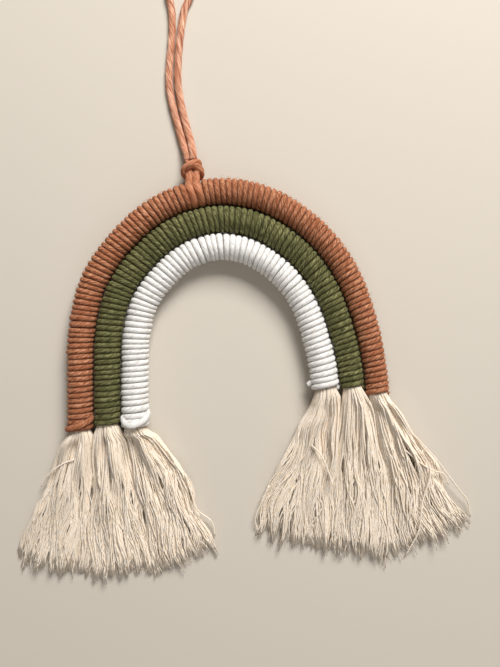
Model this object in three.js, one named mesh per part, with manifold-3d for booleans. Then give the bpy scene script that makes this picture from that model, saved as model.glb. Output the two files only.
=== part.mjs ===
// Macrame rainbow lying flat: three ropes wound with coloured string and bent into nested arches,
// six combed-out rope ends for a fringe, and a knotted string loop to hang it by.
// Millimetres, +Z up, back on z = 0. X runs across the rainbow, Y from the fringe to the crown.
import * as THREE from 'three';
import { mergeVertices } from 'three/addons/utils/BufferGeometryUtils.js';
import Module from 'manifold-3d';

const wasm = await Module();
wasm.setup();

// Driving dimensions
const GAP = 0.3; // air between two pieces
const VALLEY = 0.6; // depth of the valley between two turns
const LEAN = 0.1; // how far a turn runs ahead towards the inside of the bend, per mm
const WAIST = 3.3; // half-thickness of the outer rope where the hanger goes round it
const WAIST_RINGS = 2; // half-turns on each side of the waist's middle
const HANGER_AT = -24.6; // x of the waist's middle, on the outer arch
const HEAD_LENGTH = 6.5; // solid part of a tassel, just below the winding
const HEAD_FILL = 0.86; // a tassel's head against the winding it comes out of
const ROOT = 3.2; // where a lock starts, inside the head
const LOCK_FILL = 0.74; // a lock's width against its share of the fan
const ROOT_CLOSE = 0.66; // how close together the locks lie at their roots
const TIP_SHARE = { wide: 0.35, tall: 0.7 }; // a lock's tip against its body
const LOCK_LENGTH = { usual: 0.95, uneven: 0.05, layer: 0.02 }; // against the fan's length
const FRINGE_TOP = { neck: 11.6, tips: 5.2 }; // height of the fringe over the floor
const LAYERS = [8, 7, 6]; // locks in each layer of a tassel, from the floor up
const WAVE = { reach: 1.1, turns: 1.4, spread: 2.2 }; // sideways wander of a lock, mm and radians
const CORD = 3.4; // diameter of the hanger's string
const PULLED = 2.9; // its diameter where it is pulled tight
const KNOT = new THREE.Vector3(-26.2, 98.9, 6.4); // middle of the knot
const KNOT_TOP = 5.2; // from there to where the free strands start
const KNOT_RING = 4.4; // radius of the knot's ring, to the middle of its string
const KNOT_TILT = THREE.MathUtils.degToRad(52); // how far the ring stands up from the floor
const SPREAD = 1.6; // half the distance between the hanger's two turns round the rope
const LOOP_STEPS = 40; // lengths of its free string

// Eight flat sides, one of them underneath
const SIDES = 8;
const HALF_SIDE = Math.PI / SIDES;
const CORNER = 1 / Math.cos(HALF_SIDE); // from the middle to a corner, against to a side
const LOWEST = -0.9; // the two corners of the side underneath are below this on the unit circle

// The middle arch's centre line from the left foot to the right one, and the thickness there of
// each arch's winding. The two other arches lie against it.
const GUIDE = [
  { x: -68.7, y: -30.5, outer: 13.2, middle: 13.2, inner: 14.2 },
  { x: -68.8, y: -5.0, outer: 13.2, middle: 13.3, inner: 13.9 },
  { x: -68.0, y: 18.0, outer: 13.4, middle: 13.4, inner: 13.7 },
  { x: -62.8, y: 39.0, outer: 13.5, middle: 13.5, inner: 13.6 },
  { x: -50.8, y: 56.2, outer: 13.5, middle: 13.5, inner: 13.5 },
  { x: -35.0, y: 69.2, outer: 13.6, middle: 13.5, inner: 13.5 },
  { x: -16.0, y: 75.2, outer: 13.6, middle: 13.5, inner: 13.5 },
  { x: 2.0, y: 73.5, outer: 13.5, middle: 13.5, inner: 13.5 },
  { x: 18.0, y: 65.7, outer: 13.3, middle: 13.3, inner: 13.4 },
  { x: 31.8, y: 53.4, outer: 13.0, middle: 13.0, inner: 13.3 },
  { x: 41.6, y: 38.1, outer: 12.7, middle: 12.7, inner: 13.4 },
  { x: 48.4, y: 19.5, outer: 12.3, middle: 12.5, inner: 13.8 },
  { x: 52.4, y: 2.0, outer: 12.0, middle: 12.3, inner: 14.3 },
  { x: 54.5, y: -14.7, outer: 11.9, middle: 12.2, inner: 14.4 },
];

// side: which way an arch lies from the guide. left, right: how much sooner than the guide it ends.
// turns: of string round the rope.
const ARCHES = [
  { name: 'outer', side: 1, left: 0, right: 0, turns: 110, colour: 0xb8694a },
  { name: 'middle', side: 0, left: 0.8, right: 4.6, turns: 91, colour: 0x6b6a3f },
  { name: 'inner', side: -1, left: 0, right: 6.2, turns: 75, colour: 0xefece6 },
];

// Where the fan of each side's fringe ends: a row for each edge of its tassels, from the left.
const FAN = {
  left: [
    { x: -116.3, y: -96.9 },
    { x: -80.9, y: -105.1 },
    { x: -48.3, y: -104.5 },
    { x: -14.6, y: -90.4 },
  ],
  right: [
    { x: 5.6, y: -82.6 },
    { x: 39.1, y: -93.6 },
    { x: 72.7, y: -95.6 },
    { x: 114.9, y: -76.6 },
  ],
};

// The hanger's free string, from the knot up one strand, round the bight and down the other.
const LOOP_ROUTE = [
  [-28.4, 104.7, 6.5],
  [-28.7, 106.4, 6.2],
  [-29.4, 108.8, 4.9],
  [-30.4, 111.6, 3.2],
  [-31.8, 115.6, 2.1],
  [-33.6, 122.0, 1.8],
  [-36.2, 131.5, 1.8],
  [-38.2, 141.0, 1.8],
  [-38.7, 148.5, 1.8],
  [-38.2, 157.0, 1.8],
  [-37.5, 165.0, 1.8],
  [-37.0, 174.0, 1.8],
  [-37.4, 183.0, 1.8],
  [-38.9, 190.5, 1.8],
  [-38.6, 197.5, 1.8],
  [-33.2, 202.3, 1.8],
  [-27.4, 198.4, 1.8],
  [-27.3, 191.0, 1.8],
  [-30.6, 183.5, 1.8],
  [-32.4, 174.0, 1.8],
  [-33.4, 165.0, 1.8],
  [-34.0, 157.0, 1.8],
  [-34.3, 148.5, 1.8],
  [-33.6, 141.0, 1.8],
  [-31.8, 131.5, 1.8],
  [-29.4, 122.0, 2.0],
  [-27.8, 116.6, 3.0],
  [-26.7, 112.2, 5.2],
  [-26.1, 109.0, 7.1],
  [-25.7, 106.4, 8.0],
  [-25.5, 104.7, 8.1],
];

const UP = new THREE.Vector3(0, 0, 1);

const material = (colour, roughness) =>
  new THREE.MeshStandardMaterial({ color: colour, roughness, metalness: 0 });

function named(name, geometry, surface) {
  const mesh = new THREE.Mesh(geometry, surface);
  mesh.name = name;
  return mesh;
}

// Vertices shared and only positions kept, as a solid that can be joined.
function closed(geometry) {
  geometry.deleteAttribute('normal');
  geometry.deleteAttribute('uv');
  return mergeVertices(geometry, 1e-4);
}

// A closed tube of flat sides. place(along, across, up) says where a point of the plain cylinder
// goes: along runs from 0 to 1, and (across, up) lies on the unit circle, or at 0, 0 on the caps.
function loft(sides, steps, turned, place) {
  const geometry = closed(new THREE.CylinderGeometry(1, 1, 1, sides, steps, false, turned));
  const points = geometry.attributes.position;
  for (let i = 0; i < points.count; i++) {
    const along = 0.5 - points.getY(i);
    const moved = place(along, points.getX(i), points.getZ(i));
    points.setXYZ(i, moved.x, moved.y, moved.z);
  }
  return geometry;
}

function joined(geometries) {
  const solids = geometries.map((geometry) => {
    const points = Float32Array.from(geometry.attributes.position.array);
    const faces = Uint32Array.from(geometry.index.array);
    return new wasm.Manifold(new wasm.Mesh({ numProp: 3, vertProperties: points, triVerts: faces }));
  });
  const whole = solids.reduce((sum, solid) => sum.add(solid)).getMesh();
  const geometry = new THREE.BufferGeometry();
  geometry.setAttribute('position', new THREE.BufferAttribute(whole.vertProperties, 3));
  geometry.setIndex(new THREE.BufferAttribute(whole.triVerts, 1));
  return geometry;
}

// The guide, as one curve for its places and one for its three thicknesses.
const places = new THREE.CatmullRomCurve3(
  GUIDE.map((row) => new THREE.Vector3(row.x, row.y, 0)), false, 'catmullrom', 0.5,
);
const widths = new THREE.CatmullRomCurve3(
  GUIDE.map((row) => new THREE.Vector3(row.outer, row.middle, row.inner)), false, 'catmullrom', 0.5,
);

// The frame of an arch at the guide's parameter t: its centre, the way along, the way out of the
// bend, and half the winding's thickness.
function frameAt(arch, t) {
  const ahead = places.getTangent(t);
  const out = new THREE.Vector3(-ahead.y, ahead.x, 0);
  const [outer, middle, inner] = widths.getPoint(t).toArray();
  const own = { outer, middle, inner }[arch.name];
  const shift = arch.side * ((own + middle) / 2 + GAP);
  const centre = places.getPoint(t).addScaledVector(out, shift);
  return { centre, ahead, out, half: own / 2 };
}

// An arch's centre line measured out: gives the guide's parameter for each part of its length.
function measured(arch) {
  const samples = 1200;
  const rows = [{ t: 0, length: 0 }];
  let before = frameAt(arch, 0).centre;
  for (let i = 1; i <= samples; i++) {
    const { centre } = frameAt(arch, i / samples);
    rows.push({ t: i / samples, length: rows[i - 1].length + centre.distanceTo(before) });
    before = centre;
  }
  const first = arch.left;
  const last = rows[samples].length - arch.right;
  return (part) => {
    const length = first + (last - first) * part;
    const i = Math.max(1, rows.findIndex((row) => row.length >= length - 1e-9));
    const { t: low, length: from } = rows[i - 1];
    return low + (rows[i].t - low) * (length - from) / (rows[i].length - from);
  };
}

// The half-turn of the outer arch that lies at the waist's middle.
function waistRing(arch, at) {
  const off = (ring) => Math.abs(frameAt(arch, at(ring / (2 * arch.turns))).centre.x - HANGER_AT);
  let nearest = 0;
  for (let ring = 1; ring <= 2 * arch.turns; ring++) if (off(ring) < off(nearest)) nearest = ring;
  return nearest;
}

// The winding: each turn is a ridge between two valleys, and its underside lies flat on z = 0.
function winding(arch) {
  const at = measured(arch);
  const rings = 2 * arch.turns;
  const waist = arch.side === 1 ? waistRing(arch, at) : -rings;
  return loft(SIDES, rings, HALF_SIDE, (along, across, up) => {
    const ring = Math.round(along * rings);
    const { centre, ahead, out, half } = frameAt(arch, at(along));
    const narrow = Math.abs(ring - waist) <= WAIST_RINGS;
    const reach = narrow ? WAIST : half - (ring % 2 ? 0 : VALLEY);
    const corner = reach * CORNER;
    const lean = ring > 0 && ring < rings ? LEAN : 0;
    const high = up < LOWEST && !narrow ? 0 : half + up * corner;
    return centre.clone().addScaledVector(out, across * corner)
      .addScaledVector(ahead, -lean * across * corner).setZ(high);
  });
}

// The fan of one tassel: point(u, s) runs from the arch's foot (s = 0) to the tips (s = 1), with u
// from 0 at the tassel's left edge to 1 at its right.
function fan(arch, side, order) {
  const left = side === 'left';
  const { centre, ahead, out, half } = frameAt(arch, measured(arch)(left ? 0 : 1));
  const down = left ? ahead.clone().negate() : ahead;
  const right = left ? out.clone().negate() : out;
  const [from, to] = [FAN[side][order], FAN[side][order + 1]];
  const point = (u, s) => {
    const top = centre.clone().addScaledVector(right, (2 * u - 1) * (half + GAP / 2))
      .addScaledVector(down, GAP);
    const tip = new THREE.Vector3(from.x + (to.x - from.x) * u, from.y + (to.y - from.y) * u, 0);
    const way = tip.sub(top);
    const sideways = new THREE.Vector3(-way.y, way.x, 0).normalize();
    const phase = WAVE.spread * (order + u);
    const wander = WAVE.reach * s * s * Math.sin(2 * Math.PI * WAVE.turns * s + phase);
    return top.addScaledVector(way, s).addScaledVector(sideways, wander);
  };
  return { point, right, order, length: point(0.5, 1).distanceTo(point(0.5, 0)) };
}

const fringeTop = (s) => FRINGE_TOP.neck + (FRINGE_TOP.tips - FRINGE_TOP.neck) * s;

// The width of a part of the fan round u, at s.
const share = (spread, u, s, part) =>
  spread.point(u + part / 2, s).distanceTo(spread.point(u - part / 2, s));

// A tassel's head: the end of the rope where it starts to come apart.
function head(spread) {
  return loft(SIDES, 2, HALF_SIDE, (along, across, up) => {
    const s = (along * HEAD_LENGTH) / spread.length;
    const wide = (share(spread, 0.5, s, 1) / 2) * HEAD_FILL * CORNER;
    const half = fringeTop(s) / 2;
    return spread.point(0.5, s).addScaledVector(spread.right, across * wide)
      .setZ(up < LOWEST ? 0 : half + up * half * CORNER);
  });
}

// A lock: a three-sided strand with a flat underside that widens down the fan and ends in a point.
function lock(spread, layer, place, count) {
  const part = 1 / LAYERS[0];
  const u = 0.5 + (place - (count - 1) / 2) * part;
  const uneven = Math.sin(17.3 * place + 7.9 * layer + 2.6 * spread.order);
  const last = LOCK_LENGTH.usual + LOCK_LENGTH.uneven * uneven - LOCK_LENGTH.layer * layer;
  const first = ROOT / spread.length;
  return loft(3, 4, 0, (along, across, up) => {
    const s = first + (last - first) * along;
    const atRoot = along === 0;
    const taper = atRoot ? ROOT_CLOSE : along === 1 ? TIP_SHARE.wide : 1;
    const wide = share(spread, u, s, part) * LOCK_FILL * taper;
    const pitch = fringeTop(s) / LAYERS.length;
    const tall = (pitch - GAP) * (along === 1 ? TIP_SHARE.tall : 1);
    const here = spread.point(atRoot ? 0.5 + (u - 0.5) * ROOT_CLOSE : u, s);
    const way = spread.point(u, s + 0.01).sub(spread.point(u, s - 0.01)).normalize();
    const right = new THREE.Vector3(-way.y, way.x, 0);
    const low = layer * pitch + (atRoot && layer === 0 ? GAP : 0);
    return here.addScaledVector(right, across * wide / Math.sqrt(3))
      .setZ(low + ((up + 0.5) / 1.5) * tall);
  });
}

function tassel(arch, side, order) {
  const spread = fan(arch, side, order);
  const locks = LAYERS.flatMap((count, layer) =>
    Array.from({ length: count }, (_, place) => lock(spread, layer, place, count)));
  return joined([head(spread), ...locks]);
}

// A plain round tube through a list of points.
function tube(points, radius, sides, steps) {
  const line = new THREE.CatmullRomCurve3(points, false, 'centripetal');
  const corners = Array.from({ length: sides }, (_, i) => {
    const angle = (2 * Math.PI * i) / sides;
    return new THREE.Vector2(radius * Math.cos(angle), radius * Math.sin(angle));
  });
  return closed(new THREE.ExtrudeGeometry(new THREE.Shape(corners), { steps, extrudePath: line }));
}

// The knot and what holds it: two turns round the outer rope's waist, two strands up from them,
// the knot's tilted ring round the strands, and the band that crosses over its top.
function hangerKnot() {
  const [outer] = ARCHES;
  const at = measured(outer);
  const { centre, ahead, out, half } = frameAt(outer, at(waistRing(outer, at) / (2 * outer.turns)));
  const leaning = out.clone().addScaledVector(ahead, -LEAN);
  const around = half - PULLED / 2 - 0.1;
  const beside = (hand) => centre.clone().addScaledVector(ahead, hand * SPREAD).setZ(half);
  const knotAt = (x, y, z) => KNOT.clone().add(new THREE.Vector3(x, y, z));
  const turns = [-1, 1].map((hand) => {
    const place = new THREE.Matrix4().makeBasis(leaning, UP, ahead).setPosition(beside(hand));
    return closed(new THREE.TorusGeometry(around, PULLED / 2, 6, 16)).applyMatrix4(place);
  });
  const strands = [-1, 1].map((hand) => {
    const start = beside(hand).addScaledVector(leaning, 0.7 * around)
      .addScaledVector(UP, 0.7 * around);
    const neck = knotAt(1.6 * hand, 0.5, 0.6);
    const top = knotAt(1.45 * hand - 0.75, KNOT_TOP, 0.9 + 0.8 * hand);
    return tube([start, neck, top], PULLED / 2, 6, 6);
  });
  const ring = closed(new THREE.TorusGeometry(KNOT_RING, CORD / 2, 6, 14));
  ring.rotateX(KNOT_TILT).translate(KNOT.x, KNOT.y, KNOT.z);
  const over = [knotAt(-3.6, 1.4, 2.6), knotAt(-0.6, 3.0, 4.0), knotAt(2.4, 4.2, 2.0)];
  return joined([...turns, ...strands, ring, tube(over, CORD / 2, 6, 6)]);
}

const rainbow = new THREE.Group();

for (const arch of ARCHES) {
  rainbow.add(named(`wrap_${arch.name}`, winding(arch), material(arch.colour, 0.9)));
}

const cotton = material(0xe6d9c4, 0.95);
for (const side of ['left', 'right']) {
  const order = side === 'left' ? ARCHES : [...ARCHES].reverse();
  order.forEach((arch, place) => {
    rainbow.add(named(`fringe_${side}_${arch.name}`, tassel(arch, side, place), cotton));
  });
}

const string = material(0xbd6f50, 0.9);
rainbow.add(named('hanger_knot', hangerKnot(), string));
const loopPoints = LOOP_ROUTE.map(([x, y, z]) => new THREE.Vector3(x, y, z));
rainbow.add(named('hanger_loop', tube(loopPoints, CORD / 2, SIDES, LOOP_STEPS), string));

export default rainbow;
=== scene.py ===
"""Macrame rainbow, lying flat: three cotton ropes wound with coloured string and bent into nested
arches, their ends combed out into a fringe, and a knotted string loop to hang it by.

Sizes are in millimetres, and turned to metres when a mesh is written. X runs across the rainbow, Y from
the fringe to the crown, and Z is up. The back lies on Z = 0.
"""

import math

import bmesh
import bpy
import numpy as np
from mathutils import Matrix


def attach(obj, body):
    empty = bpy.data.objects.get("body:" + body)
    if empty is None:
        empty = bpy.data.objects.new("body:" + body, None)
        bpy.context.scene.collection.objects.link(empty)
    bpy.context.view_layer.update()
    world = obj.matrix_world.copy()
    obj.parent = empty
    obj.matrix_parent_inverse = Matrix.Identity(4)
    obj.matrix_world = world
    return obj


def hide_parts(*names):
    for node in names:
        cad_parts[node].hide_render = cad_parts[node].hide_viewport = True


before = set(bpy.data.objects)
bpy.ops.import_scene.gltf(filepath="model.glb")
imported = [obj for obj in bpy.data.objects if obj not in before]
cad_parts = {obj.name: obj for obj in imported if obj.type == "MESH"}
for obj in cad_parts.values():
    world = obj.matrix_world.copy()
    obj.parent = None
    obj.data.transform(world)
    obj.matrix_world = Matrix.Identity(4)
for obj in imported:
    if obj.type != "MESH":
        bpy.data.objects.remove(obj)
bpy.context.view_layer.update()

MM = 0.001
UP = np.array([0.0, 0.0, 1.0])

# The arches

# The middle arch's centre line from the left foot to the right one: x, y, and the thickness there of the
# outer, the middle and the inner winding.
GUIDE = [
    (-68.7, -30.5, 13.2, 13.2, 14.2),
    (-68.8, -5.0, 13.2, 13.3, 13.9),
    (-68.0, 18.0, 13.4, 13.4, 13.7),
    (-62.8, 39.0, 13.5, 13.5, 13.6),
    (-50.8, 56.2, 13.5, 13.5, 13.5),
    (-35.0, 69.2, 13.6, 13.5, 13.5),
    (-16.0, 75.2, 13.6, 13.5, 13.5),
    (2.0, 73.5, 13.5, 13.5, 13.5),
    (18.0, 65.7, 13.3, 13.3, 13.4),
    (31.8, 53.4, 13.0, 13.0, 13.3),
    (41.6, 38.1, 12.7, 12.7, 13.4),
    (48.4, 19.5, 12.3, 12.5, 13.8),
    (52.4, 2.0, 12.0, 12.3, 14.3),
    (54.5, -14.7, 11.9, 12.2, 14.4),
]
GAP = 0.3  # air between two windings

# column: of the guide. side: which way the arch lies from the guide. left, right: how much sooner than the
# guide it ends. turns: of string round the rope.
ARCHES = {
    "outer": {"column": 2, "side": 1, "left": 0.0, "right": 0.0, "turns": 110},
    "middle": {"column": 3, "side": 0, "left": 2.8, "right": 4.6, "turns": 91},
    "inner": {"column": 4, "side": -1, "left": 1.2, "right": 6.2, "turns": 75},
}

# The wound string. Wherever plies are given, they show as ridges on a string: how many, their height
# against the string's, and the length in mm that they take to go round once.

STRING = 1.36  # half its height
STRING_GIRTH = 8.7  # round it
STRING_INSET = 1.03  # its middle lies so many times that height inside the winding's outside
STRING_PLIES = ((3, 0.025, 13.0),)
TURN_STEPS = 34  # points along a turn
RUN_SLACK = 0.26  # how far a run of turns strays along the rope
TURN_SLACK = 0.06  # how far one turn does
TURN_LIFT = 0.1  # how far a turn strays off the rope
SEAT_DEPTH = 1.7  # how deep the hanger presses the outer winding in
SEAT_REACH = 3.2  # and how far to each side

# A string's last turn at a foot, tucked in slantwise over the others: half turns round the rope from the
# outside of the bend, mm from the foot, and mm of lift off the turns underneath.
TUCKED_ENDS = {
    "outer": [(-0.3, 1.6, -0.6), (0.0, 1.3, 0.7), (0.3, 1.9, 1.4), (0.6, 3.9, 1.5), (0.85, 6.2, 1.0),
              (1.05, 7.4, -0.3), (1.2, 7.8, -1.4)],
    "inner": [(0.05, 7.6, -1.2), (0.18, 5.4, 0.7), (0.35, 3.1, 1.4), (0.5, 2.6, 1.6), (0.7, 4.3, 1.6),
              (0.9, 7.4, 1.2), (1.05, 9.4, -0.2), (1.2, 10.0, -1.3)],
}
# The white string's cut end at the right foot
CUT_END = [(37.6, -4.6, 7.4), (35.2, -5.2, 7.8), (33.0, -6.2, 7.6), (31.4, -7.4, 7.0)]
CUT_END_SIZE = (1.15, 1.25)  # half its height and width
CUT_END_PLIES = ((3, 0.08, 9.0),)
PRESSED_SIZE = (1.35, 1.6)  # half the height and width of string drawn tight over other string
TUCKED_PLIES = ((3, 0.04, 17.0),)

FUZZ = 1500  # loose fibres on a winding
FUZZ_THICK = 0.028  # half a fibre's thickness, drawn stouter than real so that it shows
FUZZ_LENGTH = (0.7, 2.2)  # of the shortest and the longest

# The hanger

# Its free string, from the knot up one strand, round the bight and down the other.
LOOP_ROUTE = [
    (-28.4, 104.7, 6.5), (-28.7, 106.4, 6.2), (-29.4, 108.8, 4.9), (-30.4, 111.6, 3.2),
    (-31.8, 115.6, 2.1), (-33.6, 122.0, 1.8), (-36.2, 131.5, 1.8), (-38.2, 141.0, 1.8),
    (-38.7, 148.5, 1.8), (-38.2, 157.0, 1.8), (-37.5, 165.0, 1.8), (-37.0, 174.0, 1.8),
    (-37.4, 183.0, 1.8), (-38.9, 190.5, 1.8), (-38.6, 197.5, 1.8), (-33.2, 202.3, 1.8),
    (-27.4, 198.4, 1.8), (-27.3, 191.0, 1.8), (-30.6, 183.5, 1.8), (-32.4, 174.0, 1.8),
    (-33.4, 165.0, 1.8), (-34.0, 157.0, 1.8), (-34.3, 148.5, 1.8), (-33.6, 141.0, 1.8),
    (-31.8, 131.5, 1.8), (-29.4, 122.0, 2.0), (-27.8, 116.6, 3.0), (-26.7, 112.2, 5.2),
    (-26.1, 109.0, 7.1), (-25.7, 106.4, 8.0), (-25.5, 104.7, 8.1),
]
CORD = 3.4  # diameter of the hanger's string
LOOP_PLIES = ((3, 0.05, 24.0), (8, 0.035, 27.0))
KNOT = np.array([-26.2, 98.9, 6.4])  # middle of the knot
KNOT_RING = 4.4  # radius of the knot's ring, to the middle of its string
KNOT_TILT = math.radians(52)  # how far the ring stands up from the floor
KNOT_STRING = (1.6, 1.75)  # half the height and width of the ring's string
KNOT_PLIES = ((3, 0.08, 22.0), (7, 0.035, 25.0))
HANGER_AT = -24.6  # x of the place on the outer arch that the hanger goes round
HITCH_STRING = (1.35, 1.9)  # half the height and width of the string that goes round it
SPREAD = 1.85  # half the distance between its two turns there
LEAN = 0.1  # how far a turn runs ahead towards the inside of the bend, per mm

# The fringe

# The edges of each side's tassels on the floor, from the neck down to the cut ends, from the left.
FRINGE_EDGES = {
    "left": [
        [(-89.5, -30.5), (-92.7, -37.6), (-95.4, -44.2), (-98.6, -51.9), (-102.3, -60.6),
         (-106.0, -69.3), (-111.3, -83.1), (-116.1, -97.5)],
        [(-76.0, -29.5), (-76.2, -37.6), (-76.9, -50.4), (-78.1, -70.7), (-79.4, -88.6),
         (-80.6, -104.1)],
        [(-60.5, -27.0), (-58.9, -35.1), (-57.8, -45.3), (-55.0, -60.6), (-51.6, -81.0),
         (-48.2, -103.1)],
        [(-46.5, -26.5), (-42.1, -35.1), (-35.6, -43.7), (-31.7, -49.9), (-27.7, -60.6),
         (-24.3, -70.3), (-19.8, -79.6), (-14.7, -89.9)],
    ],
    "right": [
        [(35.0, -10.0), (34.0, -14.5), (30.6, -21.6), (26.1, -28.2), (23.4, -36.3), (19.6, -44.5),
         (16.1, -52.6), (12.1, -59.3), (7.6, -68.5), (5.0, -82.3)],
        [(48.5, -9.5), (48.1, -17.6), (46.7, -30.3), (44.8, -45.5), (42.9, -65.9), (40.5, -90.9)],
        [(63.0, -10.0), (64.2, -17.6), (66.8, -30.3), (70.0, -48.0), (72.2, -70.9), (74.4, -94.0)],
        [(73.5, -12.5), (76.6, -19.1), (82.8, -28.7), (89.9, -38.3), (95.6, -46.4), (100.3, -56.6),
         (104.5, -64.8), (109.7, -71.0), (114.5, -77.8)],
    ],
}
# A tassel that is parted: the share of it that lies left of the parting, and the parting's line
PARTINGS = {
    ("right", 0): (
        0.68,
        [(39.4, -9.8), (41.8, -17.6), (42.4, -23.5), (40.4, -32.0), (41.0, -45.0), (40.2, -56.5),
         (40.2, -68.0), (39.0, -79.0), (38.4, -90.4)],
    ),
}
YARNS = 460  # in a tassel
YARN_STEPS = 20  # along each
YARN = 0.42  # half a yarn's thickness
NECK_INSIDE = 3.6  # radius of the yarns together, inside the winding
FRINGE_TOP = (11.2, 3.2)  # height of a tassel at its neck and its ends
BUNDLES = 17  # that a tassel's yarns lie in
YARNS_INSIDE = 0.06  # how far up into the winding the yarns start, against the tassel's length
GOLDEN_ANGLE = 2.39996  # between two neighbours in a sunflower, in radians
BUNDLE_CLOSES = 0.36  # the most that a bundle draws together towards its ends, as a share of its width
CROSSING_SHARE = 0.22  # of the yarns that cross the others
CROSSING = 0.15  # how far they usually go over, against the tassel's width
FAN_EDGES = (0.03, 0.97)  # shares across a tassel past which its yarns turn back in
TURN_BACK = 0.15  # how steeply they do
SWAY = (1.5, 0.28, 0.6)  # in mm: of a bundle, of a yarn in short swings, and of a yarn's drift
RIPPLE = (0.15, 0.25)  # in mm up and down: of a yarn and of its bundle
CLEARANCE = 1.12  # least height of a yarn's middle above the floor, against YARN

# Yarns that lie apart from the rest, on top of them or past their edge: x, y and height
STRAYS = [
    [(-30.0, -52.0, 6.4), (-26.6, -63.0, 6.0), (-24.0, -70.4, 5.2),
     (-16.9, -76.8, 3.6), (-15.4, -84.6, 1.6)],
    [(-84.0, -44.0, 8.6), (-91.0, -46.8, 8.4), (-98.0, -52.0, 6.6), (-103.0, -59.0, 3.6)],
    [(84.0, -32.0, 6.8), (96.0, -45.0, 6.4), (107.9, -60.5, 4.6),
     (112.6, -66.4, 3.2), (114.6, -75.0, 1.4)],
    [(88.0, -40.0, 8.2), (92.4, -51.0, 7.8), (88.6, -66.7, 6.8),
     (87.3, -80.8, 5.4), (81.6, -95.0, 1.2)],
    [(80.0, -40.0, 8.6), (88.2, -46.8, 8.2), (95.0, -50.6, 7.0),
     (99.4, -52.0, 6.0), (102.4, -57.6, 5.0)],
    [(33.0, -37.0, 8.8), (37.6, -42.0, 8.6), (40.6, -48.0, 8.2), (44.0, -58.0, 7.6)],
    [(12.0, -58.0, 6.0), (8.6, -66.0, 5.0), (5.2, -76.0, 3.2), (7.4, -84.0, 1.2)],
]
STRAY = 0.4  # half the thickness of one

# The first of each kind, counted up from rope to rope and from tassel to tassel
SEEDS = {"winding": 11, "fuzz": 21, "tassel": 31}

# Finishes and light

# Spun cotton, as string, cord and combed-out yarn: matt, with a soft bloom from the loose fibres on its
# surface, which lie slanted round the strand. gap_shade, body and lit are its colours between fibres, on
# them
# and on the ones that stand proud: painted shade between the fibres and a painted highlight on the proud
# ones.
# tone is the colour of the stretches that took less dye or more dust. fibre is how long and how wide a
# bundle of fibres shows, in mm, and slant its angle to the strand in degrees. One fibre is about 0.02 mm
# thick, too fine to show, so the bundles are drawn 0.17 mm wide or more. flank_shade is how far a wound
# string darkens to the colour of the gaps where it presses on the next turn: painted shade in the valleys
# between the turns.
COTTONS = {
    "terracotta": {
        "finish": "terracotta single-twist cotton string",
        "gap_shade": "#351608",
        "body": "#955230",
        "lit": "#dba582",
        "tone": "#8c4a2a",
        "fibre": (1.7, 0.17),
        "slant": -32,
        "flank_shade": 0.6,
    },
    "olive": {
        "finish": "olive single-twist cotton string",
        "gap_shade": "#100f04",
        "body": "#444321",
        "lit": "#9a9868",
        "tone": "#41431e",
        "fibre": (1.7, 0.17),
        "slant": -32,
        "flank_shade": 0.6,
    },
    "white": {
        "finish": "white single-twist cotton string",
        "gap_shade": "#a89f95",
        "body": "#e8e6e3",
        "lit": "#ffffff",
        "tone": "#e3dfda",
        "fibre": (1.7, 0.17),
        "slant": -32,
        "flank_shade": 0.45,
    },
    # the same terracotta cord as the hanger loop, painted darker for the shade it lies in at the knot
    "knotted": {
        "finish": "terracotta cotton string pulled tight, painted darker",
        "gap_shade": "#4c2413",
        "body": "#a9633f",
        "lit": "#e4ac8c",
        "tone": "#9c5b3a",
        "fibre": (4.0, 0.3),
        "slant": -24,
        "flank_shade": 0,
    },
    # the same cord as the knotted string, painted lighter for the stronger light on the loop further up
    "hanger": {
        "finish": "terracotta loosely twisted cotton string, painted lighter",
        "gap_shade": "#5f301d",
        "body": "#bb7859",
        "lit": "#f3c6ab",
        "tone": "#b0704f",
        "fibre": (5.0, 0.4),
        "slant": -22,
        "flank_shade": 0,
    },
    "natural": {
        "finish": "natural combed-out cotton yarn",
        "gap_shade": "#e6cdaa",
        "body": "#fae9d4",
        "lit": "#fffaf3",
        "tone": "#f1dec4",
        "fibre": (1.4, 0.2),
        "slant": -35,
        "flank_shade": 0,
    },
}
# How high the fibres stand, from 0 to 1, where each of those colours shows fully
COTTON_STOPS = {"gap_shade": 0.34, "body": 0.47, "lit": 0.63}
# where the painted shade on a wound string's flanks, in the valleys between turns, lies
FLANK_SHADE_REACH = (0.12, 0.23)  # from the string's top to where it begins to darken and ends, against its girth
PAPER = "#cfc7bb"
# Square soft lamps: place and size in metres, and the linear colour of their light
LIGHTS = {
    "window": {"place": (0.28, 0.84, 0.74), "size": 0.5, "watts": 17.5, "colour": (1.0, 0.985, 0.96)},
    "fill": {"place": (0.1, -0.8, 0.7), "size": 1.0, "watts": 2.4, "colour": (1.0, 0.98, 0.95)},
}
SKY = {"colour": "#f4efe8", "strength": 0.2}
LENS = 32.4  # focal length in mm, on a sensor 36 mm wide
CAMERA_AT = (0.0025, 0.01825, 0.307)  # in metres


# Camera, light and floor


def place_camera():
    """The photograph's view: straight down, from 0.3 m above the ropes."""
    lens = bpy.data.cameras.new("camera")
    lens.lens = LENS
    lens.sensor_width = 36.0
    lens.clip_start = 0.01
    camera = bpy.data.objects.new("camera", lens)
    camera.location = CAMERA_AT
    bpy.context.scene.collection.objects.link(camera)
    bpy.context.scene.camera = camera


def place_light(name, place, size, watts, colour):
    """A square soft light that faces the rainbow's middle."""
    lamp = bpy.data.lights.new(name, "AREA")
    lamp.size = size
    lamp.energy = watts
    lamp.color = colour
    light = bpy.data.objects.new(name, lamp)
    light.location = place
    aim = -np.array(place)
    tilt = math.acos(-aim[2] / np.linalg.norm(aim))
    turn = math.atan2(-aim[0], aim[1])
    light.rotation_euler = (tilt, 0, turn)
    bpy.context.scene.collection.objects.link(light)


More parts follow.
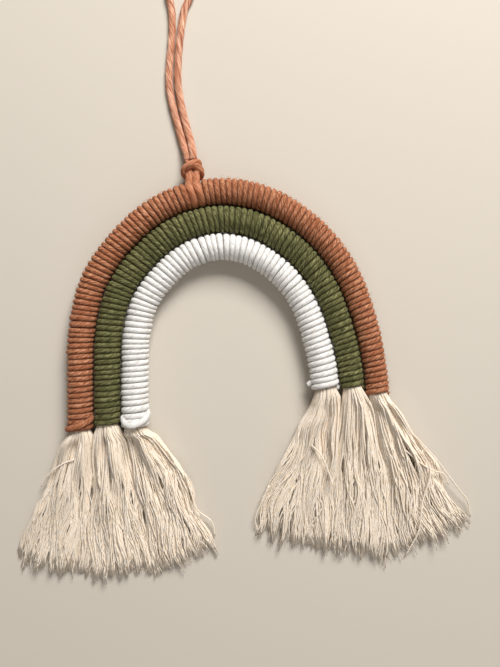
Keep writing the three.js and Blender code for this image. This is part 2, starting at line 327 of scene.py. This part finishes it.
def light_studio():
    """A window beyond the crown, a faint fill before the fringe, and an even pale sky."""
    for name, light in LIGHTS.items():
        place_light(name, **light)
    sky = bpy.data.worlds.new("studio")
    sky.use_nodes = True
    background = sky.node_tree.nodes["Background"].inputs
    background["Color"].default_value = linear(SKY["colour"])
    background["Strength"].default_value = SKY["strength"]
    bpy.context.scene.world = sky
    bpy.context.scene.view_settings.view_transform = "Standard"


def lay_floor():
    """A wide flat sheet of backdrop paper."""
    bm = bmesh.new()
    bmesh.ops.create_grid(bm, x_segments=1, y_segments=1, size=1.5)
    mesh = bpy.data.meshes.new("floor")
    bm.to_mesh(mesh)
    bm.free()
    mesh.materials.append(backdrop_paper())
    floor = bpy.data.objects.new("floor", mesh)
    bpy.context.scene.collection.objects.link(floor)


# Materials


def linear(colour):
    """An sRGB hex colour as the linear values that a shader takes."""
    parts = [int(colour[i : i + 2], 16) / 255 for i in (1, 3, 5)]
    return [c / 12.92 if c <= 0.04045 else ((c + 0.055) / 1.055) ** 2.4 for c in parts] + [1.0]


def add_node(tree, kind, inputs=None, **settings):
    """A node with its settings, and with each input set to a value or linked to another node's output."""
    node = tree.nodes.new(kind)
    for name, value in settings.items():
        setattr(node, name, value)
    for name, value in (inputs or {}).items():
        if isinstance(value, bpy.types.NodeSocket):
            tree.links.new(value, node.inputs[name])
        else:
            node.inputs[name].default_value = value
    return node


def grain(tree, strand, size, turn, detail):
    """Noise drawn out to grains size mm long and wide, turned from the strand's way."""
    drawn = {"Vector": strand, "Rotation": (0, 0, math.radians(turn)), "Scale": (*size, 1)}
    at = add_node(tree, "ShaderNodeMapping", drawn, vector_type="TEXTURE").outputs["Vector"]
    noise = {"Vector": at, "Scale": 1.0, "Detail": detail, "Roughness": 0.6}
    return add_node(tree, "ShaderNodeTexNoise", noise).outputs["Fac"]


def painted_fibre_shade_and_tone(tree, strand, height, look):
    """Painted shade between the fibres and a painted highlight on the proud ones, with duller stretches
    along the strand.
    """
    ramp = add_node(tree, "ShaderNodeValToRGB", {"Fac": height})
    stops = ramp.color_ramp.elements
    # painted shade between the fibres, painted highlight on the proud ones
    stops[0].position, stops[0].color = COTTON_STOPS["gap_shade"], linear(look["gap_shade"])
    stops[1].position, stops[1].color = COTTON_STOPS["lit"], linear(look["lit"])
    stops.new(COTTON_STOPS["body"]).color = linear(look["body"])
    stretches = grain(tree, strand, (30, 5), 0, 0.0)
    duller = {"Value": stretches, "From Min": 0.4, "From Max": 0.75, "To Max": 0.5}
    share = add_node(tree, "ShaderNodeMapRange", duller).outputs["Result"]
    mixed = {0: share, 6: ramp.outputs["Color"], 7: linear(look["tone"])}
    return add_node(tree, "ShaderNodeMix", mixed, data_type="RGBA").outputs[2]


def painted_flank_shade(tree, strand, colour, look):
    """That colour, going over to the painted shade of the gaps on the sides of the string, away from its
    top, where the turns press together.
    """
    place = add_node(tree, "ShaderNodeSeparateXYZ", {"Vector": strand}).outputs["Y"]
    off = add_node(tree, "ShaderNodeMath", {0: place, 1: STRING_GIRTH / 2}, operation="SUBTRACT")
    off = add_node(tree, "ShaderNodeMath", {0: off.outputs["Value"]}, operation="ABSOLUTE")
    near, far = (share * STRING_GIRTH for share in FLANK_SHADE_REACH)
    reach = {"From Min": near, "From Max": far, "To Max": look["flank_shade"]}
    share = add_node(tree, "ShaderNodeMapRange", {"Value": off.outputs["Value"], **reach})
    mixed = {0: share.outputs["Result"], 6: colour, 7: linear(look["gap_shade"])}
    return add_node(tree, "ShaderNodeMix", mixed, data_type="RGBA").outputs[2]


def cotton(kind):
    """One of the cottons: its slanting fibres and plies colour it with painted shade and highlights,
    roughen it and stand up from it.
    """
    look = COTTONS[kind]
    made = bpy.data.materials.new(look["finish"])
    made.use_nodes = True
    tree = made.node_tree
    shader = tree.nodes["Principled BSDF"]
    strand = add_node(tree, "ShaderNodeUVMap", uv_map="strand").outputs["UV"]
    long, wide = look["fibre"]
    fibres = grain(tree, strand, (long, wide), look["slant"], 2.0)
    plies = grain(tree, strand, (2.5 * long, 3 * wide), look["slant"], 0.0)
    height = add_node(tree, "ShaderNodeMix", {0: 0.3, 2: fibres, 3: plies}).outputs[0]
    colour = painted_fibre_shade_and_tone(tree, strand, height, look)
    # painted shade in the valleys between the turns of a wound string
    if look["flank_shade"]:
        colour = painted_flank_shade(tree, strand, colour, look)
    bump = add_node(tree, "ShaderNodeBump", {"Height": height, "Strength": 0.6, "Distance": 0.12 * MM})
    matt = add_node(tree, "ShaderNodeMapRange", {"Value": fibres, "To Min": 0.98, "To Max": 0.72})
    tree.links.new(colour, shader.inputs["Base Color"])
    tree.links.new(bump.outputs["Normal"], shader.inputs["Normal"])
    tree.links.new(matt.outputs["Result"], shader.inputs["Roughness"])
    shader.inputs["Specular IOR Level"].default_value = 0.25
    shader.inputs["Sheen Weight"].default_value = 0.25
    shader.inputs["Sheen Roughness"].default_value = 0.6
    shader.inputs["Sheen Tint"].default_value = linear(look["lit"])
    return made


def backdrop_paper():
    """Pale matt paper: even, with a barely visible tooth about 1 mm across."""
    made = bpy.data.materials.new("matt backdrop paper")
    made.use_nodes = True
    tree = made.node_tree
    shader = tree.nodes["Principled BSDF"]
    place = add_node(tree, "ShaderNodeTexCoord").outputs["Object"]
    tooth = add_node(tree, "ShaderNodeTexNoise", {"Vector": place, "Scale": 900.0, "Detail": 3.0})
    raised = {"Height": tooth.outputs["Fac"], "Strength": 0.15, "Distance": 0.1 * MM}
    bump = add_node(tree, "ShaderNodeBump", raised)
    tree.links.new(bump.outputs["Normal"], shader.inputs["Normal"])
    shader.inputs["Base Color"].default_value = linear(PAPER)
    shader.inputs["Roughness"].default_value = 0.9
    return made


# Lines, and strands along them


def unit(rows):
    """The directions of vectors, each with length 1."""
    return rows / np.linalg.norm(rows, axis=-1, keepdims=True)


def smooth_line(points, count):
    """count points on the smooth curve through the given ones, as many between each two of them."""
    given = np.asarray(points, float)
    given = np.vstack([2 * given[0] - given[1], given, 2 * given[-1] - given[-2]])
    at = np.linspace(0, len(given) - 3, count)
    i = np.minimum(at.astype(int), len(given) - 4)
    f = (at - i)[:, None]
    a, b, c, d = (given[i + k] for k in range(4))
    cubic = (c - a) * f + (2 * a - 5 * b + 4 * c - d) * f**2 + (3 * b - a - 3 * c + d) * f**3
    return b + 0.5 * cubic


def travelled(line):
    """How far along it each point of a line lies. line may hold several, one in each row."""
    steps = np.linalg.norm(np.diff(line, axis=-2), axis=-1)
    start = np.zeros(steps.shape[:-1] + (1,))
    return np.concatenate([start, np.cumsum(steps, -1)], -1)


def even_line(points, count):
    """count points evenly spaced on the smooth curve through the given ones."""
    fine = smooth_line(points, 40 * len(points))
    far = travelled(fine)
    at = np.linspace(0, far[-1], count)
    return np.stack([np.interp(at, far, column) for column in fine.T], -1)


def wander(rng, knots, count):
    """A smooth random wave about 0, with about one swing between two knots."""
    return smooth_line(rng.normal(size=(knots, 1)), count)[:, 0]


def ease(value, low, high):
    """0 below low and 1 above high, with a smooth rise between."""
    f = np.clip((value - low) / (high - low), 0, 1)
    return f * f * (3 - 2 * f)


def tube_blank(rings, sides):
    """A straight closed tube, 1 long on X and 1 in radius, with a map that runs along it and round it."""
    bm = bmesh.new()
    bm.loops.layers.uv.new("strand")
    bmesh.ops.create_grid(bm, x_segments=rings, y_segments=sides, size=0.5, calc_uvs=True)
    for vert in bm.verts:
        turn = 2 * math.pi * (vert.co.y + 0.5)
        vert.co = (vert.co.x + 0.5, math.cos(turn), math.sin(turn))
    bmesh.ops.remove_doubles(bm, verts=bm.verts, dist=1e-5)
    bmesh.ops.holes_fill(bm, edges=[e for e in bm.edges if e.is_boundary], sides=0)
    bmesh.ops.recalc_face_normals(bm, faces=bm.faces)
    blank = bpy.data.meshes.new("tube_blank")
    bm.to_mesh(blank)
    bm.free()
    return blank


def straight_tubes(name, count, rings, sides):
    """A mesh of count such tubes, all in one place."""
    blank = tube_blank(rings, sides)
    bm = bmesh.new()
    for _ in range(count):
        bm.from_mesh(blank)
    mesh = bpy.data.meshes.new(name)
    bm.to_mesh(mesh)
    bm.free()
    bpy.data.meshes.remove(blank)
    return mesh


def bend_tubes(mesh, lines, facing, tall, wide, square, ridges):
    """Lays each straight tube along its line, with the section that strands describes."""
    count, rings = lines.shape[0], lines.shape[1] - 1
    straight = np.empty(len(mesh.vertices) * 3)
    mesh.vertices.foreach_get("co", straight)
    straight = straight.reshape(count, -1, 3)
    row, ring = np.arange(count)[:, None], np.rint(straight[:, :, 0] * rings).astype(int)
    ahead = unit(np.gradient(lines, axis=1))
    facing = np.broadcast_to(facing, lines.shape)
    top = unit(facing - ahead * (facing * ahead).sum(-1, keepdims=True))
    across = np.cross(ahead, top)
    far = travelled(lines)
    spoke = straight[:, :, 1:]
    angle = np.arctan2(spoke[:, :, 1], spoke[:, :, 0])
    swell = 1.0
    for number, height, turn in ridges:
        swell = swell + height * np.cos(number * (angle + 2 * math.pi * far[row, ring] / turn))
    section = np.sign(spoke) * np.abs(spoke) ** square * np.expand_dims(swell, -1)
    points = (
        lines[row, ring]
        - (tall[row, ring] * section[:, :, 0])[..., None] * top[row, ring]
        - (wide[row, ring] * section[:, :, 1])[..., None] * across[row, ring]
    )
    mesh.vertices.foreach_set("co", (points * MM).ravel())


def lay_maps(mesh, far, girth, folds):
    """The map "strand", in mm along and round with a row for each strand, and the map for baking.

    far is how far along its strand each ring lies, by strand and ring. The map for baking lays the
    strands side by side, each cut into folds.
    """
    count, rings = far.shape[0], far.shape[1] - 1
    row = np.arange(count)[:, None]
    cells = np.empty(len(mesh.loops) * 2)
    mesh.uv_layers["strand"].data.foreach_get("uv", cells)
    cells = cells.reshape(count, -1, 2)
    along = far[row, np.rint(cells[..., 0] * rings).astype(int)]
    strand = np.stack([along, cells[..., 1] * girth + 10.0 * row], -1)
    mesh.uv_layers["strand"].data.foreach_set("uv", strand.ravel())
    corners = np.empty(len(mesh.polygons), int)
    mesh.polygons.foreach_get("loop_total", corners)
    first = np.cumsum(corners) - corners
    middle = np.add.reduceat(cells[..., 0].ravel(), first) / corners
    fold = np.repeat(np.minimum((middle * folds).astype(int), folds - 1), corners).reshape(count, -1)
    column = (row * folds + fold + cells[..., 1]) / (count * folds)
    bake = np.stack([column, cells[..., 0] * folds - fold], -1)
    mesh.uv_layers.new(name="OFBake", do_init=False)
    mesh.uv_layers["OFBake"].data.foreach_set("uv", bake.ravel())


def strands(name, lines, facing, size, sides, finish, square=1.0, folds=1, ridges=()):
    """One piece of tubes along lines, an array of strand by point by x, y, z, in mm.

    facing is the way that a strand's top looks, and size is half its height that way and half its width.
    square below 1 makes its section squarer. ridges are (how many, their height against the strand's,
    the length they take to go round once), and folds how many parts the map for baking has of a strand.
    """
    lines = np.asarray(lines, float).reshape(-1, *np.shape(lines)[-2:])
    count, points = lines.shape[:2]
    mesh = straight_tubes(name, count, points - 1, sides)
    tall, wide = (np.broadcast_to(half, (count, points)) for half in size)
    bend_tubes(mesh, lines, facing, tall, wide, square, ridges)
    girth = 2 * math.pi * float(np.sqrt(tall * wide).mean())
    lay_maps(mesh, travelled(lines), girth, folds)
    mesh.shade_smooth()
    mesh.materials.append(finish)
    piece = bpy.data.objects.new(name, mesh)
    bpy.context.scene.collection.objects.link(piece)
    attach(piece, "root")
    return piece


# The three ropes and their windings


class Rope:
    """An arch's centre line, from the left foot to the right one, and its winding's thickness."""

    def __init__(self, name):
        arch = ARCHES[name]
        rows = smooth_line(GUIDE, 2401)
        ahead = unit(np.gradient(rows[:, :2], axis=0))
        out = np.stack([-ahead[:, 1], ahead[:, 0]], -1)
        own, middle = rows[:, arch["column"]], rows[:, 3]
        line = rows[:, :2] + out * (arch["side"] * ((own + middle) / 2 + GAP))[:, None]
        far = travelled(line)
        self.turns = arch["turns"]
        self.length = far[-1] - arch["left"] - arch["right"]
        self.far = far - arch["left"]
        self.table = np.column_stack([line, ahead, own / 2])

    def at(self, mm):
        """The centre, the ways along and out of the bend, and half the thickness, mm past the left end."""
        mm = np.asarray(mm, float)
        inside = np.clip(mm, self.far[0], self.far[-1])
        rows = np.stack([np.interp(inside, self.far, column) for column in self.table.T], -1)
        flat = rows[..., :2] + rows[..., 2:4] * (mm - inside)[..., None]
        half = rows[..., 4]
        ahead = unit(np.concatenate([rows[..., 2:4], np.zeros(mm.shape + (1,))], -1))
        out = np.stack([-ahead[..., 1], ahead[..., 0], ahead[..., 2]], -1)
        centre = np.concatenate([flat, half[..., None]], -1)
        return centre, ahead, out, half

    def wound(self, mm, turn, lift):
        """The middle of a string on the rope, and the way out to it.

        turn is in radians round the rope, from the outside of the bend over the top.
        """
        centre, ahead, out, half = self.at(mm)
        spoke = out * np.cos(turn)[:, None] + UP * np.sin(turn)[:, None]
        above = np.clip(1 + np.sin(turn), 0, 1)
        return centre + spoke * (half - STRING_INSET * STRING + lift * above)[:, None], spoke


ROPES = {name: Rope(name) for name in ARCHES}


def waist():
    """How far along the outer rope the hanger goes round it."""
    outer = ROPES["outer"]
    mm = np.linspace(0, outer.length, 4001)
    return mm[np.argmin(np.abs(outer.at(mm)[0][:, 0] - HANGER_AT))]


def seat(mm):
    """How deep the hanger presses the outer winding in, mm along it."""
    return SEAT_DEPTH * np.exp(-(((mm - waist()) / SEAT_REACH) ** 4))


def winding(name, finish):
    """The string wound round a rope, turn against turn, each a little uneven."""
    rope = ROPES[name]
    rng = np.random.default_rng(SEEDS["winding"] + list(ROPES).index(name))
    steps = TURN_STEPS * rope.turns
    turn = np.linspace(0, 2 * math.pi * rope.turns, steps + 1)
    pitch = rope.length / rope.turns
    slack = RUN_SLACK * wander(rng, rope.turns // 2, steps + 1)
    slack = slack + TURN_SLACK * wander(rng, 2 * rope.turns, steps + 1)
    mm = pitch / 2 + (rope.length - pitch) * turn / turn[-1] + slack
    lift = TURN_LIFT * wander(rng, 2 * rope.turns, steps + 1)
    if name == "outer":
        lift = lift - seat(mm)
    line, spoke = rope.wound(mm, turn, lift)

    # The string is as wide as its turns lie apart, on average between the one before and the one after
    step = np.linalg.norm(line[TURN_STEPS:] - line[:-TURN_STEPS], axis=-1)
    room = np.concatenate([step[:TURN_STEPS], step, step[-TURN_STEPS:]])
    room = (room[:-TURN_STEPS] + room[TURN_STEPS:]) / 2
    size = (STRING, room / 2)
    piece = strands(
        f"winding_{name}", line, spoke, size, 14, finish, folds=rope.turns, ridges=STRING_PLIES
    )
    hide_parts(f"wrap_{name}")
    return piece


def fuzz(name, finish):
    """The short fibres that stand off a winding."""
    rope = ROPES[name]
    rng = np.random.default_rng(SEEDS["fuzz"] + list(ROPES).index(name))
    mm = rng.uniform(0, rope.length, FUZZ)
    turn = rng.uniform(-0.35, math.pi + 0.35, FUZZ)
    foot, spoke = rope.wound(mm, turn, np.full(FUZZ, STRING * 0.93))
    if name == "outer":
        foot = foot - spoke * seat(mm)[:, None]
    lean = rng.normal(size=(FUZZ, 3))
    lean = unit(lean - spoke * (lean * spoke).sum(-1, keepdims=True))
    curl = np.cross(spoke, lean) * rng.normal(0, 0.5, (FUZZ, 1))
    long = rng.uniform(*FUZZ_LENGTH, (FUZZ, 1, 1))
    f = np.linspace(0, 1, 4)[None, :, None]
    rise = rng.uniform(0.15, 0.75, (FUZZ, 1, 1))
    path = lean[:, None] * f + curl[:, None] * f**2 + spoke[:, None] * rise * np.sin(2.2 * f)
    thick = FUZZ_THICK * np.array([1.0, 1.0, 0.8, 0.4])
    lines = foot[:, None] + long * path
    return strands(f"fuzz_{name}", lines, spoke[:, None], (thick, thick), 3, finish)


def tucked_end(name, finish):
    """The last turn at the left foot, which slants over the others and goes under."""
    rope = ROPES[name]
    route = smooth_line(TUCKED_ENDS[name], 60)
    line, spoke = rope.wound(route[:, 1], math.pi * route[:, 0], route[:, 2])
    return strands(
        f"tucked_end_{name}", line, spoke, PRESSED_SIZE, 14, finish, square=0.9, ridges=TUCKED_PLIES
    )


def cut_end(finish):
    """The white string's other end, cut short where it comes out at the right foot."""
    line = even_line(CUT_END, 14)
    return strands("cut_end_inner", line, UP, CUT_END_SIZE, 12, finish, ridges=CUT_END_PLIES)


# The hanger


def loop_string(finish):
    """The free string of the hanger, loosely twisted, so that its plies show as long slanting ridges."""
    line = even_line(LOOP_ROUTE, 241)
    size = (CORD / 2 - 0.06, CORD / 2 + 0.12)  # a little flatter than round
    piece = strands("hanger_string", line, UP, size, 32, finish, ridges=LOOP_PLIES)
    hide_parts("hanger_loop")
    return piece


def hitch(hand, finish):
    """One of the two strings that come down out of the knot, go round the outer arch and back up to it.

    hand is -1 for the left one and 1 for the right one.
    """
    centre, ahead, out, half = ROPES["outer"].at(waist())
    reach = half - STRING + 0.1
    route = [KNOT + (1.45 * hand - 0.75, 5.6, 0.9 + 0.8 * hand), KNOT + (1.5 * hand, 2.6, 1.0)]
    for degrees in (38, 70, 105, 145, 180, 225, 270, 315, 350):
        turn = math.radians(degrees)
        along = hand * SPREAD - LEAN * reach * math.cos(turn)
        flat = 0.35 * max(0.0, -math.sin(turn))
        spoke = out * math.cos(turn) + UP * math.sin(turn)
        route.append(centre + ahead * along + (reach - flat) * spoke)
    route.append(KNOT + (1.3 * hand, -1.0, -3.0))
    route.append(KNOT + (1.2 * hand, 2.4, -1.6))
    line = even_line(route, 90)
    name = "hanger_hitch_left" if hand < 0 else "hanger_hitch_right"
    from_arch = line - (centre + ahead * hand * SPREAD)
    return strands(name, line, from_arch, HITCH_STRING, 18, finish, square=0.92, ridges=KNOT_PLIES)


def knot_ring(finish):
    """The knot's turn round both strings. Its ends come close together underneath."""
    turn = np.radians(np.linspace(-88, 268, 80))
    flat = np.sin(turn) * math.cos(KNOT_TILT)
    high = np.sin(turn) * math.sin(KNOT_TILT)
    spoke = np.stack([np.cos(turn), flat, high], -1)
    line = KNOT + KNOT_RING * spoke
    piece = strands("hanger_knot_ring", line, spoke, KNOT_STRING, 18, finish, ridges=KNOT_PLIES)
    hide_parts("hanger_knot")
    return piece


def knot_band(finish):
    """The string that crosses over the top of the knot."""
    route = [(-4.3, -0.4, 0.9), (-3.4, 1.6, 2.9), (-0.6, 3.2, 4.2), (2.3, 4.5, 2.9), (3.4, 4.6, 0.6)]
    line = even_line([KNOT + place for place in route], 40)
    return strands("hanger_knot_band", line, line - KNOT, PRESSED_SIZE, 18, finish, ridges=KNOT_PLIES)


# The fringe


def tassel_spread(side, order):
    """Where a tassel's yarns run on the floor, and how near they are to a lock's edge.

    Both are for each share u across the tassel and s down it.
    """
    edges = [even_line(edge, 201) for edge in FRINGE_EDGES[side][order : order + 2]]
    shares = [0.0, 1.0]
    if (side, order) in PARTINGS:
        share, line = PARTINGS[side, order]
        edges.insert(1, even_line(line, 201))
        shares.insert(1, share)
    edges, shares = np.array(edges), np.array(shares)

    def point(u, s):
        at = np.clip(s, 0, 1.2) * 200
        i = np.minimum(at.astype(int), 199)
        f = (at - i)[..., None]
        lock = np.clip(np.searchsorted(shares, u) - 1, 0, len(shares) - 2)
        v = (u - shares[lock]) / (shares[lock + 1] - shares[lock])
        sides = [edges[lock + k, i] * (1 - f) + edges[lock + k, i + 1] * f for k in (0, 1)]
        return sides[0] * (1 - v[..., None]) + sides[1] * v[..., None], np.abs(2 * np.clip(v, 0, 1) - 1)

    return point


def waves(rng, groups, mm, short, long):
    """A sine along each yarn, from short to long mm a swing, alike for the yarns of one group."""
    count = groups.max() + 1
    swing = rng.uniform(short, long, count)[groups][:, None]
    return np.sin(2 * math.pi * mm / swing + rng.uniform(0, 2 * math.pi, count)[groups][:, None])


class Yarns:
    """A tassel's yarns: where each lies in the neck, which others it keeps to, and how far it reaches."""

    def __init__(self, rng):
        """Places in the round neck, as seeds lie in a sunflower, ranked across and from the floor up."""
        number = np.arange(YARNS)
        angle = number * GOLDEN_ANGLE + rng.normal(0, 0.15, YARNS)
        from_middle = np.sqrt((number + 0.5) / YARNS)
        self.across, self.high = from_middle * np.cos(angle), from_middle * np.sin(angle)
        self.rank = (np.argsort(np.argsort(self.across)) + rng.uniform(0, 1, YARNS)) / YARNS
        height = self.high + rng.normal(0, 0.25, YARNS)
        self.layer = (np.argsort(np.argsort(height)) + 0.5) / YARNS
        self.bundle = np.floor(self.rank * BUNDLES).astype(int)
        self.bundle_middle = (np.arange(BUNDLES) + 0.5 + rng.normal(0, 0.9, BUNDLES)) / BUNDLES
        self.ends = self.cut(rng)

    def cut(self, rng):
        """How far down the tassel each yarn ends. The upper ones reach furthest."""
        short = rng.uniform(0, 1, YARNS) ** 1.5 * (0.17 - 0.13 * self.layer)
        ends = 1 + rng.normal(0, 0.02, BUNDLES)[self.bundle] - short
        longer = rng.uniform(0, 1, YARNS) < 0.3 * self.layer
        return ends + np.where(longer, rng.uniform(0.01, 0.05, YARNS), 0)

    def fanned(self, rng, s):
        """The share u across the tassel of each yarn at each s, and which yarns cross the others.

        They go from the neck out to the fan, drawn into bundles, and turn back at its edges.
        """
        u_neck = 0.5 + 0.5 * self.across[:, None]
        u = u_neck + (self.rank[:, None] - u_neck) * ease(s, -0.03, 0.14)
        closed = ease(s, 0.35, 1.1) * rng.uniform(0.0, BUNDLE_CLOSES, BUNDLES)[self.bundle][:, None]
        u = u + (self.bundle_middle[self.bundle][:, None] - u) * closed
        crosses = rng.uniform(0, 1, YARNS) < CROSSING_SHARE
        crossing = np.where(crosses, rng.normal(0, CROSSING, YARNS), 0.0)[:, None]
        u = u + crossing * ease(s, rng.uniform(0.1, 0.5, (YARNS, 1)), 1.0)
        low, high = FAN_EDGES
        u = np.where(u < low, low - TURN_BACK * (u - low), u)
        u = np.where(u > high, high - TURN_BACK * (u - high), u)
        return u, crosses[:, None]


def neck_girth(half, s):
    """The radius of the yarns together: narrow inside the winding, and nearly half its width at its end."""
    return NECK_INSIDE + (half - 0.5 - NECK_INSIDE) * ease(s, -0.04, 0.03)


def mound(u, s, edge, seed):
    """The height of a tassel: it thins towards its edges and its ends, and has hills in it."""
    hills = 1 + 0.16 * np.sin(6.3 * (1.3 * u + 1.7 * s) + seed)
    hills = hills + 0.14 * np.sin(6.3 * (2.1 * u - 1.2 * s) + 2 * seed)
    top = FRINGE_TOP[0] + (FRINGE_TOP[1] - FRINGE_TOP[0]) * np.clip(s, 0, 1) ** 0.7
    return top * (1 - (0.22 + 0.3 * np.clip(s, 0, 1)) * edge**2.5) * hills


def tassel(side, name, order, finish, seed):
    """The combed-out end of a rope: yarns packed round at the neck, then fanned out and lying in layers."""
    rope = ROPES[name]
    rng = np.random.default_rng(seed)
    foot, ahead, out, half = rope.at(0.0 if side == "left" else rope.length)
    down, right = (-ahead, -out) if side == "left" else (ahead, out)
    spread = tassel_spread(side, order)
    middle = spread(np.array([0.5, 0.5]), np.array([0.0, 1.0]))[0]
    length = np.linalg.norm(middle[1] - middle[0])
    yarns = Yarns(rng)
    s = np.linspace(-YARNS_INSIDE, 1, YARN_STEPS + 1)[None, :] * np.ones((YARNS, 1))
    s = np.where(s > 0, s * yarns.ends[:, None], s)
    mm = s * length

    # On the floor: out of the neck into the fan, with every yarn swaying a little
    u, crosses = yarns.fanned(rng, s)
    fan, edge = spread(u, np.maximum(s, 0))
    girth = neck_girth(half, s)
    to_side = yarns.across[:, None] * girth
    neck = foot[:2] + down[:2] * mm[..., None] + right[:2] * to_side[..., None]
    fanned = ease(s, -0.01, 0.12)[..., None]
    flat = neck * (1 - fanned) + fan * fanned
    own = np.arange(YARNS)
    drift = np.stack([wander(rng, 6, YARN_STEPS + 1) for _ in range(YARNS)])
    sway = SWAY[0] * waves(rng, yarns.bundle, mm, 30, 65) + SWAY[1] * waves(rng, own, mm, 9, 17)
    sway = sway + SWAY[2] * drift
    flat = flat + np.array([-down[1], down[0]]) * (sway * ease(s, 0.02, 0.6))[..., None]

    # Up: round in the neck, then in layers under the top of the mound
    lying = YARN + (yarns.layer[:, None] ** 0.55 + 0.08 * crosses) * (mound(u, s, edge, seed) - YARN)
    packed = half + yarns.high[:, None] * girth
    z = packed + (lying - packed) * ease(s, -0.01, 0.13)
    ripple = RIPPLE[0] * waves(rng, own, mm, 10, 18) + RIPPLE[1] * waves(rng, yarns.bundle, mm, 30, 60)
    z = np.maximum(z + ripple * ease(s, 0.05, 0.4), CLEARANCE * YARN)
    lines = np.concatenate([flat, z[..., None]], -1)
    thick = YARN * rng.uniform(0.75, 1.1, (YARNS, 1)) * (1 - 0.35 * ease(s, 0.85, 1.0))
    piece = strands(f"fringe_yarns_{side}_{name}", lines, UP, (thick, thick), 3, finish)
    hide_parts(f"fringe_{side}_{name}")
    return piece


def strays(finish):
    """The yarns that lie apart."""
    lines = [even_line(route, 25) for route in STRAYS]
    return strands("fringe_strays", lines, UP, (STRAY, STRAY), 5, finish)


# Making it


def make_hanger(loose, tight):
    """The loop, the two strings round the outer arch and the knot between them."""
    loop_string(loose)
    for piece in (hitch(-1, tight), hitch(1, tight), knot_ring(tight), knot_band(tight)):
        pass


def make_winding(name, finish):
    """A rope's winding with its loose fibres and, where they show, its string's ends."""
    pieces = [winding(name, finish), fuzz(name, finish)]
    if name in TUCKED_ENDS:
        pieces.append(tucked_end(name, finish))
    if name == "inner":
        pieces.append(cut_end(finish))


def make_fringe(finish):
    """Three tassels at each side, from the left, and the yarns that lie apart."""
    seed = SEEDS["tassel"]
    for side, names in {"left": list(ARCHES), "right": list(ARCHES)[::-1]}.items():
        for order, name in enumerate(names):
            tassel(side, name, order, finish, seed)
            seed += 1
    strays(finish)


place_camera()
lay_floor()
light_studio()
finishes = {kind: cotton(kind) for kind in COTTONS}
make_hanger(finishes["hanger"], finishes["knotted"])
make_winding("outer", finishes["terracotta"])
make_winding("middle", finishes["olive"])
make_winding("inner", finishes["white"])
make_fringe(finishes["natural"])
